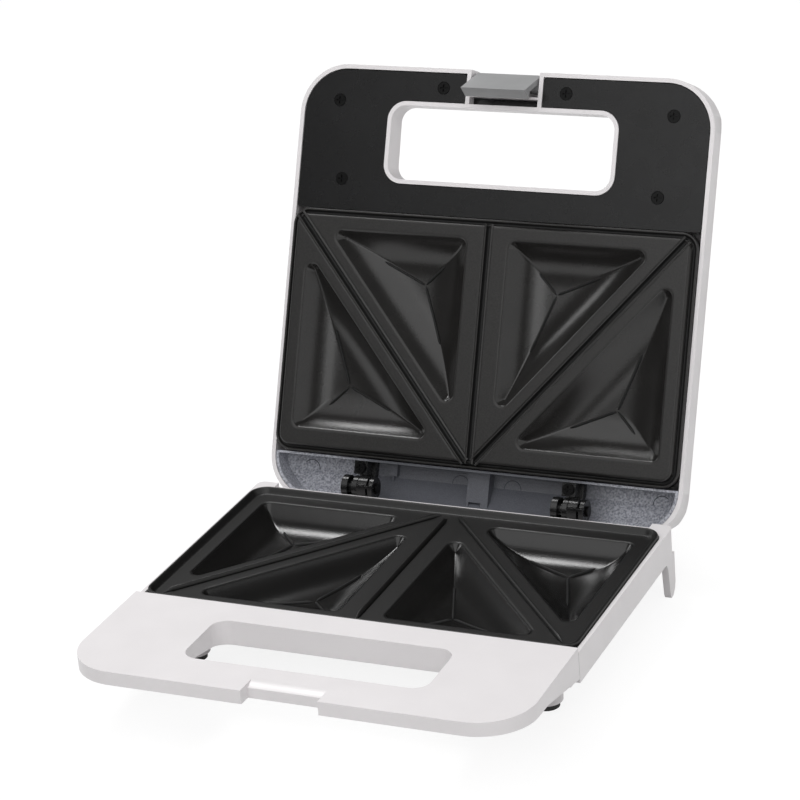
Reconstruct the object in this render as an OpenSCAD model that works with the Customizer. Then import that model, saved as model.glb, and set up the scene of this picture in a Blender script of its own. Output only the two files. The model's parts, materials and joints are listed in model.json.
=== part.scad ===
// Two-slice sandwich toaster, drawn with its lid open.
// X runs across the handles, Y from the front handle to the hinges, Z up from the table.
// The lid pieces are written in their closed place and turned open about the hinge axis.

/* [Body] */
// Width across the base and the lid
body_w = 230; // [222:1:245]
// Height of the front handle's top face above the table
top_h = 39.3; // [38:0.1:46]
// Reach of the front handle from the cooking plates
handle_d = 78.8; // [74:0.2:90]
// Radius of the front handle's corners, seen from above
handle_corner = 26.5; // [20:0.5:32]
// Depth of the base behind the plates
rear_margin = 9; // [8:0.5:12]
// Wall of the mouldings
wall = 2; // [1.6:0.1:2.4]
// Height of the base's side walls
side_h = 16; // [15:0.5:18]
// Depth of the base's belly under the side walls
belly_h = 13.5; // [13:0.5:16]
// Inset of the belly from the sides of the base
belly_inset = 14; // [12:0.5:18]
// Radius of the rear corners of the base
rear_corner = 4; // [2:0.5:6]
// Thickness of the handles' edge at the front
handle_edge = 7; // [6.5:0.1:8]
// Thickness of the front handle where it meets the base
handle_root = 16.4; // [15:0.2:18]

/* [Finger slots] */
// Width of both finger slots
slot_w = 124; // [110:1:140]
// Front-to-back size of the finger slots
slot_d = 39; // [34:0.5:44]
// Distance from the plates to the slots
slot_setback = 17; // [15:0.5:20]
// Radius of the slots' corners
slot_corner = 8; // [4:0.5:12]

/* [Lid] */
// Angle that the lid turns through to close
open_angle = 113.3; // [95:0.1:116]
// Reach of the lid's handle from the cooking plates
lid_handle_d = 76.2; // [72:0.2:88]
// Depth of the lid behind the plates
lid_tail = 26; // [24:0.5:30]
// Height of the lid's side walls
lid_side = 11.5; // [10:0.5:14]
// Height of the lid's dome above the plates' edge
lid_dome = 29; // [28:0.5:36]
// Thickness of the lid's handle
lid_handle_t = 13.3; // [12.5:0.1:16]
// Radius of the lid's rear corners
lid_corner = 24; // [18:0.5:28]
// Step from the plates' edge back to the lid's rim
lid_step = 2.2; // [1.5:0.1:3]
// Thickness of the lid handle's cover
cover_t = 2.4; // [2:0.1:3]
// Depth of the liner between the hinges
liner_depth = 20; // [19:0.5:22]

/* [Cooking plates] */
// Gap between the plates and the walls beside them
plate_gap = 0.4; // [0.3:0.1:1]
// Front-to-back size of the plates
plate_d = 129.4; // [126:0.2:136]
// Radius of the plates' corners
plate_corner = 9; // [6:0.5:12]
// Thickness of the cast metal
plate_t = 2.2; // [1.8:0.1:2.6]
// Height of the plates' outer edge
lip_h = 3; // [2.4:0.1:4]
// Thickness of the plates' outer edge
lip_t = 1.4; // [1:0.1:1.8]
// Depth of the pockets
pocket_depth = 10.5; // [9:0.5:11]
// Distance over which a pocket's wall slopes
pocket_run = 14; // [12:0.5:16]
// Radius of the pockets' corners
pocket_r = 5; // [3:0.5:7]
// Margin outside the rear pockets
edge_margin = 10.4; // [9:0.2:12]
// Half of the bridge between the two front pockets
bridge = 11.5; // [10.5:0.5:13]
// Half of the land along each diagonal
diagonal_land = 8; // [7:0.5:10]
// Width of the ribs that divide the lower plate
rib_w = 2.4; // [2:0.1:3]
// Height of the ribs
rib_h = 2.2; // [1.5:0.1:2.4]
// Gap between the two plates when closed
close_gap = 0.3; // [0.2:0.1:0.6]

/* [Heaters] */
// Radius of the heating tubes
heater_r = 3.25; // [3:0.05:3.5]
// Half width of the heating loop
heater_half_w = 72; // [70:1:76]
// Front-to-back size of the heating loop
heater_d = 64; // [60:1:66]
// Radius of the loop's bends
heater_bend = 14; // [10:1:18]
// Distance of the reflector from the belly's sides
sheet_margin = 11; // [8:0.5:20]
// Thickness of the reflector sheet
sheet_t = 0.6; // [0.5:0.1:1]

/* [Hinges] */
// Radius of the hinge knuckles
knuckle_r = 6; // [5.5:0.1:6.2]
// Length of one knuckle
knuckle_l = 8.8; // [7:0.2:10]
// Radius of the hinge pins
pin_r = 1.6; // [1.4:0.1:2]
// Distance of the hinge axis behind the base
axis_back = 6.5; // [6.5:0.1:7.5]
// Distance of the hinge axis under the plates' edge
axis_drop = 2.5; // [2:0.1:4]
// Distance of each hinge from the middle
hinge_x = 58.6; // [52:0.2:66]

/* [Latch] */
// Width of the latch
latch_w = 35.5; // [30:0.5:44]
// Radius of the latch's barrel
barrel_r = 4.75; // [4.2:0.05:5]
// Length of the latch below its pivot
latch_l = 23.6; // [22:0.2:26]
// Angle that the open latch hangs inwards
latch_swing = 24.6; // [20:0.1:26]
// Thickness of the latch's arm
latch_arm = 3; // [3:0.1:3.8]
// Radius of the latch pin
latch_pin_r = 1.5; // [1.2:0.1:1.8]

/* [Feet] */
// Distance of the front feet from the middle
foot_x = 93; // [88:0.5:96]
// Distance of the front feet behind the handle
foot_y = 12; // [10:0.5:20]
// Radius of the rubber pads
pad_r = 6.3; // [5:0.1:7.5]
// Thickness of the rubber pads
pad_t = 3.3; // [2.5:0.1:4.5]
// Thickness of the rear legs
leg_t = 3.5; // [3:0.1:4]

/* [Hidden] */
$fn = 48;
cut = 1;                 // how far a cut runs past a face
gap = 0.3;               // clearance between neighbouring pieces
fit = 0.05;              // radial clearance of a pin in its hole

// levels
rim_z = top_h - 0.5;                     // edge of the lower plate
part_z = rim_z + close_gap;              // edge of the upper plate when closed
side_top = top_h - 2.5;
ledge_z = rim_z - 4.4;                   // top of the base behind the plate
side_bottom = side_top - side_h;
belly_bottom = side_bottom - belly_h;
lid_rim = part_z + lid_step;

// places along X
lid_wall = wall + 0.2;
plate_w = body_w - 2 * (wall + plate_gap);
cover_in = lid_wall + plate_gap;         // rim of the shell outside the handle's cover

// places along Y, from the rear edge of the front handle
seam = 0.3;
plate_y0 = 1;
plate_y1 = plate_y0 + plate_d;
base_rear = plate_y1 + rear_margin;
lid_rear = plate_y1 + lid_tail;
axis_y = base_rear + axis_back;
axis_z = rim_z - axis_drop;
slot_y1 = -slot_setback;
slot_y0 = slot_y1 - slot_d;
belly_y0 = 4;
belly_y1 = base_rear - 5.4;
belly_run = 26;                          // length of the belly's sloping front

lid_bevel = 3;                           // bevel round the end of the lid's handle

// the whole open toaster is centred on the origin
open_back = axis_y + (-lid_handle_d + lid_bevel - axis_y) * cos(open_angle)
    + (lid_rim + lid_handle_t - axis_z) * sin(open_angle);
centre_y = (open_back - handle_d) / 2;

// colours
WHITE = [0.90, 0.88, 0.885];
BLACK = [0.06, 0.06, 0.065];
COATING = [0.16, 0.15, 0.15];
GREY = [0.56, 0.56, 0.56];
SLATE = [0.27, 0.28, 0.33];
STEEL = [0.62, 0.62, 0.64];
BRIGHT = [0.82, 0.83, 0.85];
RUBBER = [0.09, 0.09, 0.09];
CERAMIC = [0.87, 0.85, 0.80];

// ---- placing ----

// a piece of the base, in the shared frame
module on_base() {
    translate([0, -centre_y, 0]) children();
}

// a piece of the lid, written closed and turned open
module on_lid() {
    on_base() translate([0, axis_y, axis_z]) rotate([-open_angle, 0, 0])
        translate([0, -axis_y, -axis_z]) children();
}

// a piece of the latch, written latched and swung inwards
module on_latch() {
    on_lid() translate([0, latch_y, latch_z]) rotate([latch_swing, 0, 0])
        translate([0, -latch_y, -latch_z]) children();
}

// ---- shared shapes ----

// plan outline with round front and rear corners
module plan(w, y0, y1, r0, r1) {
    translate([-w / 2, y0 + r0]) square([w, y1 - y0 - r0 - r1]);
    translate([-w / 2 + r0, y0]) square([w - 2 * r0, r0 + 0.01]);
    translate([-w / 2 + r1, y1 - r1 - 0.01]) square([w - 2 * r1, r1 + 0.01]);
    for (side = [-1, 1]) {
        if (r0 > 0) translate([side * (w / 2 - r0), y0 + r0]) circle(r0, $fn = 64);
        if (r1 > 0) translate([side * (w / 2 - r1), y1 - r1]) circle(r1, $fn = 64);
    }
}

// plan outline pulled up from z0 to z1
module plan_prism(w, y0, y1, r0, r1, z0, z1) {
    translate([0, 0, z0]) linear_extrude(z1 - z0) plan(w, y0, y1, r0, r1);
}

// outline in Y and Z pulled along X between x0 and x1
module side_prism(points, x0, x1) {
    rotate([90, 0, 90]) translate([0, 0, x0]) linear_extrude(x1 - x0) polygon(points);
}

// symmetric outline in X and Z pulled along Y between y0 and y1
module front_prism(half, y0, y1) {
    full = concat(half, [for (i = [len(half) - 1:-1:0]) [-half[i][0], half[i][1]]]);
    translate([0, y1, 0]) rotate([90, 0, 0]) linear_extrude(y1 - y0) polygon(full);
}

module block(x0, x1, y0, y1, z0, z1) {
    translate([x0, y0, z0]) cube([x1 - x0, y1 - y0, z1 - z0]);
}

module rod_x(x0, x1, y, z, r) {
    translate([x0, y, z]) rotate([0, 90, 0]) cylinder(h = x1 - x0, r = r);
}

module rod_y(y0, y1, x, z, r) {
    translate([x, y0, z]) rotate([-90, 0, 0]) cylinder(h = y1 - y0, r = r);
}

module rod_z(z0, z1, x, y, r) {
    translate([x, y, z0]) cylinder(h = z1 - z0, r = r);
}

// round-headed screw whose shank runs up from a head that hangs under z
module screw_up(z, length, shank_r, across = head_r, height = head_h) {
    difference() {
        union() {
            translate([0, 0, z - height]) cylinder(h = height, r = across);
            translate([0, 0, z - 0.01]) cylinder(h = length, r = shank_r);
        }
        for (turn = [0, 90]) rotate([0, 0, turn])
            translate([-across * 0.6, -across * 0.14, z - height - cut])
                cube([across * 1.2, across * 0.28, height * 0.6 + cut]);
    }
}

// ---- cooking plates ----

lower_face = -lip_h;      // cooking face of the lower plate, measured from its edge
upper_face = lip_h - 0.2; // the upper plate stands proud and drops inside the lower one's edge
raise_in = 3.2;           // inset of the raised face from the plate's outline
groove_w = rib_w + 2 * gap;              // grooves of the upper plate, which take the ribs
groove_d = rib_h + 0.2;
screw_r = 1.7;            // shank of the plate and cover screws
head_r = 3.2;             // screw heads
head_h = 1.6;
boss_hole = 10;           // depth of the screw holes in the plates' bosses
heater_y0 = 34;           // front run of the heating loop
cold_end = 12;            // half of the gap between the tube's ends
sheet_half_w = body_w / 2 - belly_inset - sheet_margin;
sheet_y0 = 24;            // front edge of the reflector
sheet_y1 = 110;           // rear edge of the reflector
sheet_edge = 4;           // height of the reflector's upturned edge
clip_t = 1;               // thickness of the heater straps
clip_w = 8;
clip_x = 44;

// the diagonal of the right half runs from the rear middle to the front corner
diag_a = [2.8, plate_y1 - 3.8];
diag_b = [plate_w / 2 - 5.6, plate_y0 + 4.1];
diag_dir = (diag_b - diag_a) / norm(diag_b - diag_a);
diag_n = [-diag_dir[1], diag_dir[0]];

// crossing of the line at distance off from the diagonal with x = c or y = c
function on_diag_x(c, off) = diag_a[1] + (off - (c - diag_a[0]) * diag_n[0]) / diag_n[1];
function on_diag_y(c, off) = diag_a[0] + (off - (c - diag_a[1]) * diag_n[1]) / diag_n[0];

// corners of a pocket, drawn in by an inset on every side
function front_tri(inset) =
    let (x = bridge + inset, y = plate_y0 + edge_margin + inset, off = -diagonal_land - inset)
    [[x, y], [on_diag_y(y, off), y], [x, on_diag_x(x, off)]];
function rear_tri(inset) =
    let (x = plate_w / 2 - edge_margin - inset, y = plate_y1 - edge_margin - 2 - inset,
         off = diagonal_land + inset)
    [[x, y], [on_diag_y(y, off), y], [x, on_diag_x(x, off)]];

// rounded triangle: each corner is an arc of radius r about a point of tri
function turn_of(tri) =
    let (a = tri[1] - tri[0], b = tri[2] - tri[0]) a[0] * b[1] - a[1] * b[0] > 0 ? 1 : -1;
function heading(p, q) = atan2(q[1] - p[1], q[0] - p[0]);
ARC = 6;                                  // steps in a pocket's corner
function round_tri(tri, r) =
    let (s = turn_of(tri))
    [for (i = [0:2])
        let (start = heading(tri[(i + 2) % 3], tri[i]) - s * 90,
             swing = heading(tri[i], tri[(i + 1) % 3]) - heading(tri[(i + 2) % 3], tri[i]),
             span = s > 0 ? (swing < 0 ? swing + 360 : swing) : (swing > 0 ? swing - 360 : swing))
        for (k = [0:ARC]) tri[i] + r * [cos(start + span * k / ARC), sin(start + span * k / ARC)]];

// closed solid between a ring at z0 and a ring at z1, with as many points in each
module loft(ring0, z0, ring1, z1) {
    n = len(ring0);
    points = concat([for (p = ring0) [p[0], p[1], z0]], [for (p = ring1) [p[0], p[1], z1]]);
    walls = [for (i = [0:n - 1]) [i, (i + 1) % n, n + (i + 1) % n, n + i]];
    flip = (turn_of([ring0[0], ring0[ARC + 1], ring0[2 * ARC + 2]]) > 0) == (z1 > z0);
    faces = concat(walls, [[for (i = [n - 1:-1:0]) i]], [[for (i = [0:n - 1]) n + i]]);
    polyhedron(points, flip ? [for (f = faces) [for (i = [len(f) - 1:-1:0]) f[i]]] : faces);
}

// one pocket, open at the face; grow thickens it for the underside of the casting
module pocket(front, face, grow) {
    mouth = front ? front_tri(pocket_r) : rear_tri(pocket_r);
    base_r = 1.5;
    bed = front ? front_tri(pocket_run + base_r) : rear_tri(pocket_run + base_r);
    loft(round_tri(mouth, pocket_r + grow), face + (grow > 0 ? -0.01 : cut * 0.2),
         round_tri(bed, base_r + grow), face - pocket_depth - grow);
}

// ridges that meet over a pocket's floor and score the sandwich
module pocket_ridges(front, face) {
    bed = front ? front_tri(pocket_run) : rear_tri(pocket_run);
    middle = (bed[0] + bed[1] + bed[2]) / 3;
    for (p = bed)
        translate([middle[0], middle[1], face - pocket_depth - 0.5])
            rotate([0, 0, heading(middle, p)])
                translate([0, -0.6, 0]) cube([norm(p - middle) - 2, 1.2, 1.3]);
}

// bar from p to q whose cross-section narrows from w at z0 to narrow at z1
module bar(p, q, w, narrow, z0, z1) {
    translate([p[0], p[1], 0]) rotate([0, 0, heading(p, q)]) rotate([90, 0, 90])
        linear_extrude(norm(q - p))
            polygon([[-w / 2, z0], [w / 2, z0], [narrow / 2, z1], [-narrow / 2, z1]]);
}

// bars along the dividing lines of a plate, the middle and both diagonals, cut short at the ends
divider_end = 4.7;        // distance of a groove's end from the plate's edge
module dividers(short, w, narrow, z0, z1) {
    bar([0, plate_y0 + divider_end + short], [0, plate_y1 - 2 * divider_end - short], w, narrow, z0, z1);
    for (side = [0, 1]) mirror([side, 0, 0])
        bar(diag_a + (1 + short) * diag_dir, diag_b - (2 + short) * diag_dir, w, narrow, z0, z1);
}

// points where screws clamp a plate: bridge front and rear, and both diagonals
boss_r = 4;
boss_points = concat([[0, plate_y0 + 43], [0, plate_y1 - 26.4]],
    [for (side = [-1, 1]) [side * (diag_a[0] + diag_b[0]) / 2, (diag_a[1] + diag_b[1]) / 2]]);

function heater_level(face) = face - pocket_depth - plate_t - heater_r - 0.1;
function sheet_level(face) = heater_level(face) - heater_r - 1.2;   // top of the reflector

// cast plate with its edge at z = 0 and its cooking face at z = face
module cast_plate(face, edge_drop) {
    land = min(face, -lip_h / 2);          // level just inside the edge
    difference() {
        union() {
            plate_ring(0, lip_t, -edge_drop, 0);
            plate_ring(lip_t - 0.01, raise_in + plate_t, land - plate_t, land);
            plate_ring(raise_in, raise_in + plate_t, land - plate_t, face);
            plate_ring(raise_in, raise_in, face - plate_t, face);
            for (side = [0, 1]) mirror([side, 0, 0]) {
                pocket(true, face, plate_t);
                pocket(false, face, plate_t);
            }
            for (p = boss_points) rod_z(sheet_level(face), face - 1, p[0], p[1], boss_r);
            if (face > 0)
                dividers(0, groove_w + 2 * plate_t, groove_w, face - 0.5, face - groove_d - plate_t);
        }
        for (side = [0, 1]) mirror([side, 0, 0]) {
            pocket(true, face, 0);
            pocket(false, face, 0);
        }
        for (p = boss_points)
            rod_z(sheet_level(face) - cut, sheet_level(face) + boss_hole, p[0], p[1], screw_r + fit);
        if (face > 0) dividers(0, groove_w, groove_w - 1, face + 0.2, face - groove_d);
    }
    if (face < 0) dividers(2 * gap, rib_w, rib_w / 2, face - 0.5, face + rib_h);
    for (side = [0, 1]) mirror([side, 0, 0]) {
        pocket_ridges(true, face);
        pocket_ridges(false, face);
    }
}

// ring of the plate's outline between two insets, or a full slab if they are equal
module plate_ring(outer, inner, z0, z1) {
    difference() {
        plan_prism(plate_w - 2 * outer, plate_y0 + outer, plate_y1 - outer,
            plate_corner - outer, plate_corner - outer, z0, z1);
        if (inner > outer)
            plan_prism(plate_w - 2 * inner, plate_y0 + inner, plate_y1 - inner,
                plate_corner - inner, plate_corner - inner, z0 - cut, z1 + cut);
    }
}

// heating tube bent to a loop that is open at the rear middle
module heater_loop(face) {
    z = heater_level(face);
    y0 = heater_y0;
    y1 = heater_y0 + heater_d;
    x = heater_half_w;
    b = heater_bend;
    rod_x(-x + b, x - b, y0, z, heater_r);
    for (side = [-1, 1]) {
        rod_y(y0 + b, y1 - b, side * x, z, heater_r);
        translate([side * (x - b), y0 + b, z]) rotate([0, 0, side > 0 ? -90 : 180])
            rotate_extrude(angle = 90) translate([b, 0]) circle(heater_r);
        translate([side * (x - b), y1 - b, z]) rotate([0, 0, side > 0 ? 0 : 90])
            rotate_extrude(angle = 90) translate([b, 0]) circle(heater_r);
        if (side > 0) rod_x(cold_end, x - b, y1, z, heater_r);
        else rod_x(-x + b, -cold_end, y1, z, heater_r);
        // cold pin and its flat tag
        rod_x(side > 0 ? cold_end - 6 : -cold_end - 0.01, side > 0 ? cold_end + 0.01 : -cold_end + 6,
            y1, z, 1.2);
    }
}

// polished sheet under the heater, with an upturned edge and a hole at each screw
module reflector(face) {
    z = sheet_level(face);
    difference() {
        plan_prism(2 * sheet_half_w, sheet_y0, sheet_y1, 14, 14, z - sheet_t, z + sheet_edge);
        plan_prism(2 * (sheet_half_w - sheet_t), sheet_y0 + sheet_t, sheet_y1 - sheet_t,
            14 - sheet_t, 14 - sheet_t, z, z + sheet_edge + cut);
        for (p = boss_points) rod_z(z - sheet_t - cut, z + cut, p[0], p[1], screw_r + fit);
    }
}

// bent straps that hold the heating tube up against the plate
module heater_clips(face) {
    z = heater_level(face);
    for (x = [-clip_x, clip_x]) difference() {
        block(x - clip_w / 2, x + clip_w / 2, heater_y0 - heater_r - clip_t - fit,
            heater_y0 + heater_r + clip_t + fit, z - heater_r - clip_t - fit, z + heater_r + 0.08);
        rod_x(x - clip_w, x + clip_w, heater_y0, z, heater_r + fit);
        block(x - clip_w, x + clip_w, heater_y0 - heater_r - fit, heater_y0 + heater_r + fit,
            z, z + heater_r + cut);
    }
}

// ---- base ----

collar = 2.2;             // wall round a finger slot
handle_flat = 40;         // length of the handle whose edge keeps its thickness
keeper_w = 38.6;          // width of the latch notch
keeper_y = -lid_handle_d + 4.2;
ramp = 4.5;               // length of the slope that leads the latch over its keeper
ramp_h = 2;
cover_points = [[body_w / 2 - 15, -14], [body_w / 2 - 15, -handle_d + 28.8],
    [keeper_w / 2 + 10.7, -handle_d + 12.3]];        // screws of the front handle, right half
post_r = 5;               // posts under the screws
handle_screw_l = 3.9;     // shanks of the front handle's screws
stem_r = 2.5;             // holes for the rubber pads' stems
stem_l = 6.5;
skirt = wall + 0.4;       // skirt of the handle's cover
under_w = body_w - 2 * (skirt + gap);    // width of what lies inside the skirt
front_wall = -4.8;        // front wall of the base, under the cover
cover_under = top_h - wall - gap;
plate_seat = belly_bottom + 2.4;         // where the plate screws' heads bear
leaf_t = 4.4;             // thickness of the base leaves
hinge_places = [-hinge_x - 0.8, hinge_x - 0.8];
leaf_holes = [side_bottom + 4.4, side_bottom + 9.1];
leaf_head_r = 2.3;        // heads of the base leaves' screws
arm_block = 7.4;          // block under a lid leaf's screw
arm_block_h = 12;
arm_screw_x = 5.5;        // place of a lid leaf's screw beside its knuckle
arm_screw_y = plate_y1 + 5.8;
arm_screw_l = 16;
arm_head_r = 3;
arm_head_h = 1.8;
cord_x = 26;              // place of the cord's inlet
cord_z = belly_bottom + 6.6;
cord_r = 4.4;
terminal_x = 9;
terminal_y = sheet_y1 + 2.5;

// height of the handle's underside at y
function handle_z(y) = y < -handle_flat
    ? top_h - handle_edge - 1.4 + 1.4 * (-handle_flat - y) / (handle_d + cut - handle_flat)
    : top_h - handle_edge - 1.4 - (handle_root - handle_edge - 1.4) * (y + handle_flat)
        / (handle_flat + cut);
function head_seat(y) = handle_z(y) + 1.7;       // where a cover screw's head bears
function cover_post(y) = head_seat(y) + 1.3;     // where the tray's post meets the cover's

// finger slot, grown by a wall
module slot_prism(grow, z0, z1) {
    plan_prism(slot_w + 2 * grow, slot_y0 - grow, slot_y1 + grow, slot_corner + grow,
        slot_corner + grow, z0, z1);
}

// lower surface of the front handle, shifted up by rise
function handle_under(rise) = [
    [-handle_d - cut, top_h - handle_edge + rise], [-handle_flat, top_h - handle_edge - 1.4 + rise],
    [cut, top_h - handle_root + rise]];

// front handle between its sloping underside, shifted up by rise, and the level z
module handle_body(w, y0, y1, corner, rise, z) {
    intersection() {
        plan_prism(w, y0, y1, corner, 0, top_h - handle_root - cut, z);
        side_prism(concat(handle_under(rise), [[cut, top_h + cut], [-handle_d - cut, top_h + cut]]),
            -body_w, body_w);
    }
}

// outside of the belly, drawn in by t
module belly(t) {
    z1 = side_bottom + wall + cut;
    z0 = belly_bottom + t;
    half = body_w / 2 - belly_inset - t;
    intersection() {
        plan_prism(2 * half, belly_y0 + t, belly_y1 - t, 14, 14, z0, z1);
        front_prism([[half - 4, z0], [half, z1]], 0, base_rear);
        side_prism([[belly_y0 + belly_run + t, z0], [belly_y1 - t, z0], [belly_y1 - t, z1],
            [belly_y0 + t, z1]], -body_w, body_w);
    }
}

module rear_leg() {
    root = side_bottom + 2;
    side_prism([[base_rear - 20, root], [base_rear - 12, side_bottom - 0.5],
        [base_rear - 10.2, side_bottom - 4], [base_rear - 8.2, 2.2], [base_rear - 7, 0],
        [base_rear - 4.2, 0], [base_rear - 1, 3], [base_rear, 6], [base_rear, root]],
        body_w / 2 - leg_t, body_w / 2);
}

// the base's side walls, belly, handle tray, legs and foot bosses, still solid
module base_outside() {
    plan_prism(body_w, seam, base_rear, 0, rear_corner, side_bottom, side_top);
    block(-under_w / 2, under_w / 2, front_wall, seam + wall, side_bottom, cover_under);
    belly(0);
    for (side = [0, 1]) mirror([side, 0, 0]) {
        rear_leg();
        translate([foot_x, foot_y, pad_t])
            cylinder(h = side_bottom + wall - pad_t, r1 = 8, r2 = 8.8);
    }
}

// hollow for the plate, its heater and the space under the rear ledge
module base_inside() {
    well_w = body_w - 2 * wall;
    plan_prism(well_w, plate_y0 - 0.5, plate_y1 + 0.6, 1, plate_corner, side_bottom + wall, top_h);
    block(-well_w / 2, well_w / 2, plate_y0, base_rear - wall, side_bottom + wall, ledge_z - wall);
    block(-well_w / 2 + plate_corner, well_w / 2 - plate_corner, plate_y1, base_rear + cut, ledge_z,
        top_h);
    block(-under_w / 2 + wall, under_w / 2 - wall, front_wall + wall, plate_y0 + 1,
        side_bottom + wall, cover_under - wall);
    belly(wall);
}

module base_shell() {
    color(WHITE) on_base() difference() {
        union() {
            difference() {
                base_outside();
                base_inside();
            }
            handle_tray();
            for (p = boss_points)
                rod_z(belly_bottom + 0.5, rim_z + sheet_level(lower_face) - sheet_t, p[0], p[1], post_r);
        }
        for (side = [-1, 1]) {
            rod_z(pad_t - cut, pad_t + stem_l, side * foot_x, foot_y, stem_r);
            for (p = cover_points) {
                rod_z(0, top_h, side * p[0], p[1], screw_r + fit);
                rod_z(0, head_seat(p[1]), side * p[0], p[1], head_r + 0.2);
            }
        }
        for (p = boss_points) {
            rod_z(0, rim_z, p[0], p[1], screw_r + fit);
            rod_z(0, plate_seat, p[0], p[1], head_r + 0.2);
        }
        for (x = hinge_places) for (z = leaf_holes)
            rod_y(base_rear - wall - cut, base_rear + cut, x + gap + knuckle_l / 2, z, screw_r + fit);
        rod_y(belly_y1 - 14, belly_y1 + cut, cord_x, cord_z, cord_r);
    }
}

// underside of the front handle, set inside the skirt of its cover
module handle_tray() {
    difference() {
        union() {
            difference() {
                handle_body(under_w, -handle_d + skirt + gap, 1, handle_corner - skirt - gap, 0,
                    top_h - 3);
                translate([0, 0, wall]) handle_body(under_w + 1, -handle_d, 2, 1, 0, top_h + cut);
            }
            for (p = cover_points) for (side = [-1, 1])
                rod_z(handle_z(p[1]) + 0.6, cover_post(p[1]), side * p[0], p[1], post_r);
        }
        slot_prism(collar + gap, 0, top_h);
        block(-keeper_w / 2 - 2.6, keeper_w / 2 + 2.6, -handle_d, keeper_y + 4.2, 0, top_h);
        base_inside();
    }
}

module base_handle_cover() {
    color(WHITE) on_base() difference() {
        union() {
            difference() {
                handle_body(body_w, -handle_d, 0, handle_corner, 0, top_h);
                handle_body(body_w - 2 * skirt, -handle_d + skirt, cut, handle_corner - skirt,
                    -handle_root, top_h - wall);
            }
            intersection() {
                handle_body(body_w, -handle_d, 0, handle_corner, 0, top_h);
                union() {
                    slot_prism(collar, 0, top_h);
                    block(-keeper_w / 2 - 2.2, keeper_w / 2 + 2.2, -handle_d, keeper_y + 3.8, 0, top_h);
                }
            }
            for (p = cover_points) for (side = [-1, 1])
                rod_z(cover_post(p[1]) + 0.02, top_h - 1, side * p[0], p[1], 4);
        }
        slot_prism(0, 0, top_h + cut);
        // latch notch with a slope that leads the latch over its keeper
        block(-keeper_w / 2, keeper_w / 2, -handle_d - cut, keeper_y, 0, top_h + cut);
        side_prism([[keeper_y - cut, top_h + cut], [keeper_y - cut, top_h - ramp_h],
            [keeper_y, top_h - ramp_h], [keeper_y + ramp, top_h], [keeper_y + ramp, top_h + cut]],
            -keeper_w / 2, keeper_w / 2);
        for (p = cover_points) for (side = [-1, 1])
            rod_z(0, head_seat(p[1]) + handle_screw_l + 0.3, side * p[0], p[1], screw_r + fit);
    }
}

module base_handle_screws() {
    color(STEEL) on_base() for (p = cover_points) for (side = [-1, 1])
        translate([side * p[0], p[1], 0])
            screw_up(head_seat(p[1]), handle_screw_l, screw_r);
}

module rubber_feet() {
    color(RUBBER) on_base() for (side = [-1, 1]) {
        rod_z(0, pad_t, side * foot_x, foot_y, pad_r);
        rod_z(pad_t - 0.01, pad_t + stem_l - 1, side * foot_x, foot_y, stem_r - fit);
    }
}

// ---- cooking parts of the base ----

module at_lower() {
    on_base() translate([0, 0, rim_z]) children();
}

module lower_plate() {
    color(COATING) at_lower() cast_plate(lower_face, lip_h + plate_t);
}

module lower_heater() {
    color(STEEL) at_lower() heater_loop(lower_face);
}

module lower_reflector() {
    color(BRIGHT) at_lower() reflector(lower_face);
}

module lower_heater_clips() {
    color(BRIGHT) at_lower() heater_clips(lower_face);
}

module plate_screws() {
    color(STEEL) on_base() for (p = boss_points) translate([p[0], p[1], 0])
        screw_up(plate_seat, rim_z + sheet_level(lower_face) + boss_hole - 1 - plate_seat,
            screw_r);
}

// disc thermostat screwed up against the bridge between the front pockets
module thermostat() {
    z = rim_z + lower_face - plate_t;
    y = plate_y0 + 64;
    color(BLACK) on_base() {
        rod_z(z - 1.2, z, 0, y, 8);
        rod_z(z - 7, z - 1.19, 0, y, 7);
        for (side = [-1, 1])
            block(-2, 2, y + side * 4 - 0.4, y + side * 4 + 0.4, z - 13, z - 6.9);
    }
}

// ceramic terminal block on the belly's floor, open to the front for the tags
module terminal_block() {
    z = belly_bottom + wall;
    color(CERAMIC) on_base() difference() {
        block(terminal_x, terminal_x + 30, terminal_y, terminal_y + 12, z, z + 12);
        for (i = [0:2]) {
            rod_y(terminal_y - cut, terminal_y + 12 + cut, terminal_x + 5 + 10 * i, z + 6, 2.2);
            rod_z(z + 6, z + 12 + cut, terminal_x + 5 + 10 * i, terminal_y + 6, 1.8);
        }
    }
}

// flanged bush in the rear of the belly, where the supply cord leaves
module cord_bush() {
    color(BLACK) on_base() difference() {
        union() {
            rod_y(belly_y1 - 6, belly_y1 + 0.5, cord_x, cord_z, cord_r - fit);
            rod_y(belly_y1 + 0.02, belly_y1 + 2.6, cord_x, cord_z, cord_r + 1.6);
        }
        rod_y(belly_y1 - 10, belly_y1 + 4, cord_x, cord_z, 3.2);
    }
}

// ---- hinges ----

base_groove = [5.2, 6.4]; // grooves that part the knuckles into ears
lid_groove = [2.6, 5.4];

// groove round a knuckle that leaves a core about the pin
module ear_groove(x0, x1) {
    difference() {
        rod_x(x0, x1, axis_y, axis_z, knuckle_r + cut);
        rod_x(x0 - cut, x1 + cut, axis_y, axis_z, pin_r + 1.6);
    }
}

module base_hinge(x) {
    color(BLACK) on_base() difference() {
        union() {
            rod_x(x + gap, x + gap + knuckle_l, axis_y, axis_z, knuckle_r);
            block(x + gap, x + gap + knuckle_l, base_rear, axis_y, axis_z - knuckle_r,
                axis_z + knuckle_r - 2);
            block(x + gap, x + gap + knuckle_l, base_rear, base_rear + leaf_t, side_bottom + 1.5,
                axis_z);
        }
        rod_x(x, x + knuckle_l + cut, axis_y, axis_z, pin_r + fit);
        ear_groove(x + gap + base_groove[0], x + gap + base_groove[1]);
        for (z = leaf_holes)
            rod_y(base_rear - cut, base_rear + leaf_t - 0.5, x + gap + knuckle_l / 2, z, screw_r);
    }
}

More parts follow.
